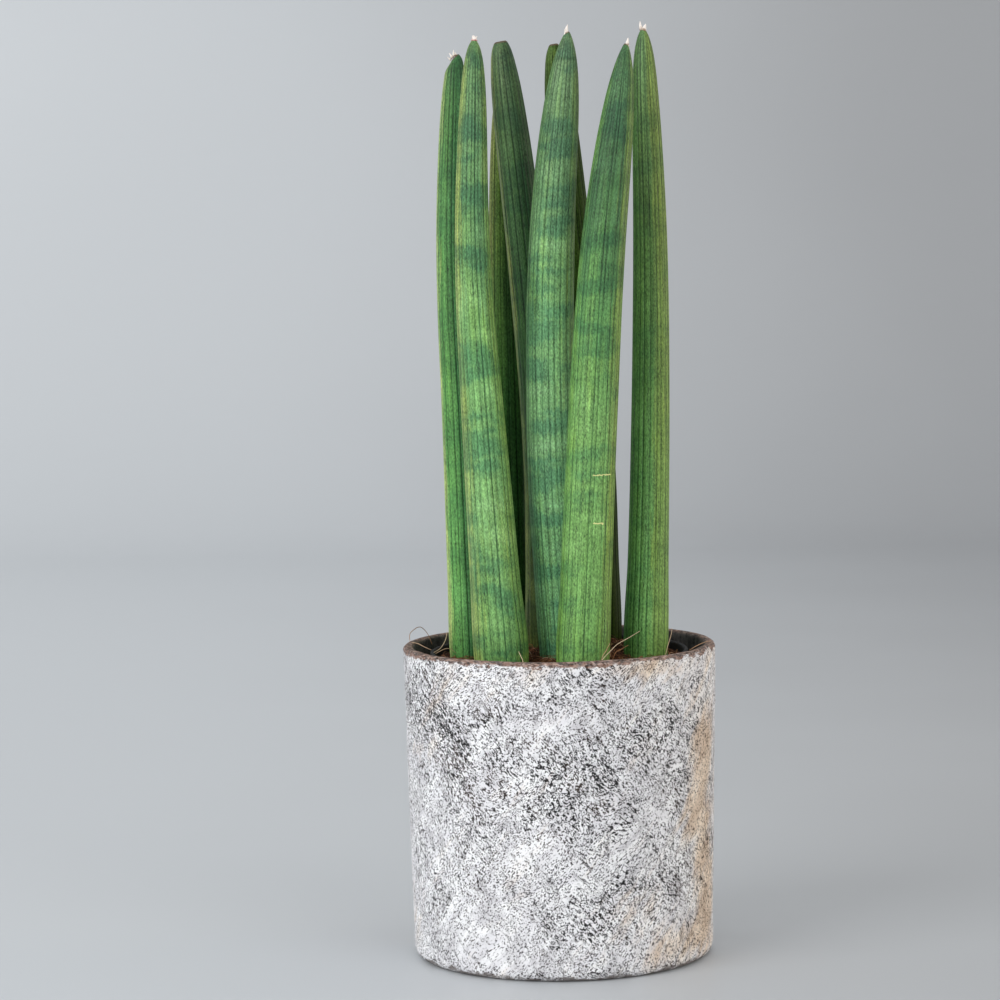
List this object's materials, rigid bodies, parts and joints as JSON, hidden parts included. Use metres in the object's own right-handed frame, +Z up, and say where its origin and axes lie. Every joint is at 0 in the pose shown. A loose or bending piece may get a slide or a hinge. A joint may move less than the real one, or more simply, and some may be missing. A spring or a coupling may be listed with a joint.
{
  "type": "potted snake plant",
  "caption": "Upright clump of round, tapering snake plant leaves in fibrous compost, in a grow pot set inside a limewashed cylindrical cover pot.",
  "frame": {"origin": "centre of the cover pot's underside, on the surface that it stands on", "axes": "+Z up the pot's axis, -Y towards the front, +X to the right as seen from the front"},
  "size_m": [0.14, 0.14, 0.413],
  "materials": {
    "limewash": "rough off-white limewash over a dark grey-brown fired body, matte",
    "black_plastic": "matte",
    "compost": "matte, fibrous",
    "leaf": "satin, waxy, with darker cross bands and lengthwise grooves",
    "coir": "matte, dry"
  },
  "bodies": {
    "root": {"cover_pot": "limewash", "grow_pot": "black_plastic", "compost_bed": "compost", "leaf_far_left": "leaf", "leaf_front_left": "leaf", "leaf_back_left": "leaf", "leaf_middle_left": "leaf", "leaf_centre": "leaf", "leaf_back_right": "leaf", "leaf_front_right": "leaf", "leaf_far_right": "leaf", "coir_strand_1": "coir", "coir_strand_2": "coir", "coir_strand_3": "coir", "coir_strand_4": "coir", "coir_strand_5": "coir", "coir_strand_6": "coir", "coir_strand_7": "coir", "coir_strand_8": "coir", "coir_strand_9": "coir", "coir_strand_10": "coir"}
  },
  "joints": []
}
